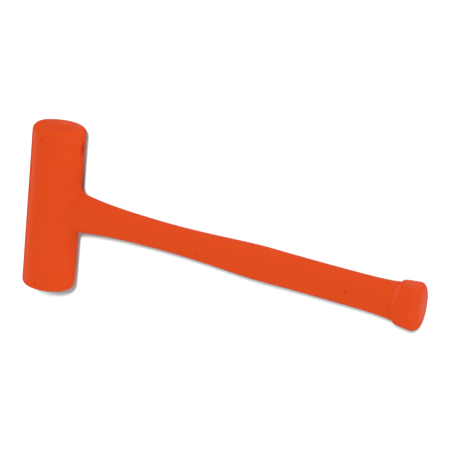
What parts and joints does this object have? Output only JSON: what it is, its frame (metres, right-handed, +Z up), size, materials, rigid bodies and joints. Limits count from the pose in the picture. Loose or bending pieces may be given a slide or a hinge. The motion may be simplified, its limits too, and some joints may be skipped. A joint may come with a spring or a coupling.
{
  "type": "dead blow mallet",
  "caption": "Soft-faced dead blow mallet: a cast urethane head and handle in one piece over a steel skeleton, with a canister of loose steel shot in the head that stops rebound.",
  "frame": {"origin": "centre of the upper striking face, on the head's axis", "axes": "+Y out of the upper striking face along the head, +X along the handle from head to butt, +Z up with the mallet lying on its side"},
  "size_m": [0.3111, 0.1213, 0.0386],
  "materials": {
    "urethane": "satin cast polyurethane, orange-red",
    "mild_steel": "machined, lightly oiled",
    "rod_steel": "drawn bar, dull",
    "spring_steel": "black oxide",
    "zinc_plate": "bright zinc plate",
    "shot_steel": "burnished, oily"
  },
  "bodies": {
    "mallet": {"jacket": "urethane", "canister_tube": "mild_steel", "upper_plug": "mild_steel", "lower_plug": "mild_steel", "rod_socket": "mild_steel", "cross_pin": "spring_steel", "handle_rod": "rod_steel", "anchor_washer": "zinc_plate", "anchor_nut": "zinc_plate"},
    "shot": {"shot_layer_01": "shot_steel", "shot_layer_02": "shot_steel", "shot_layer_03": "shot_steel", "shot_layer_04": "shot_steel", "shot_layer_05": "shot_steel", "shot_layer_06": "shot_steel", "shot_layer_07": "shot_steel", "shot_layer_08": "shot_steel", "shot_layer_09": "shot_steel", "shot_layer_10": "shot_steel", "shot_layer_11": "shot_steel", "shot_layer_12": "shot_steel", "shot_layer_13": "shot_steel", "shot_layer_14": "shot_steel", "shot_layer_15": "shot_steel", "shot_layer_16": "shot_steel", "shot_layer_17": "shot_steel"}
  },
  "joints": [
    {"name": "shot_slide", "type": "slide", "parent": "mallet", "child": "shot", "axis": [0, 1, 0], "range_m": [0, 0.0157]}
  ]
}
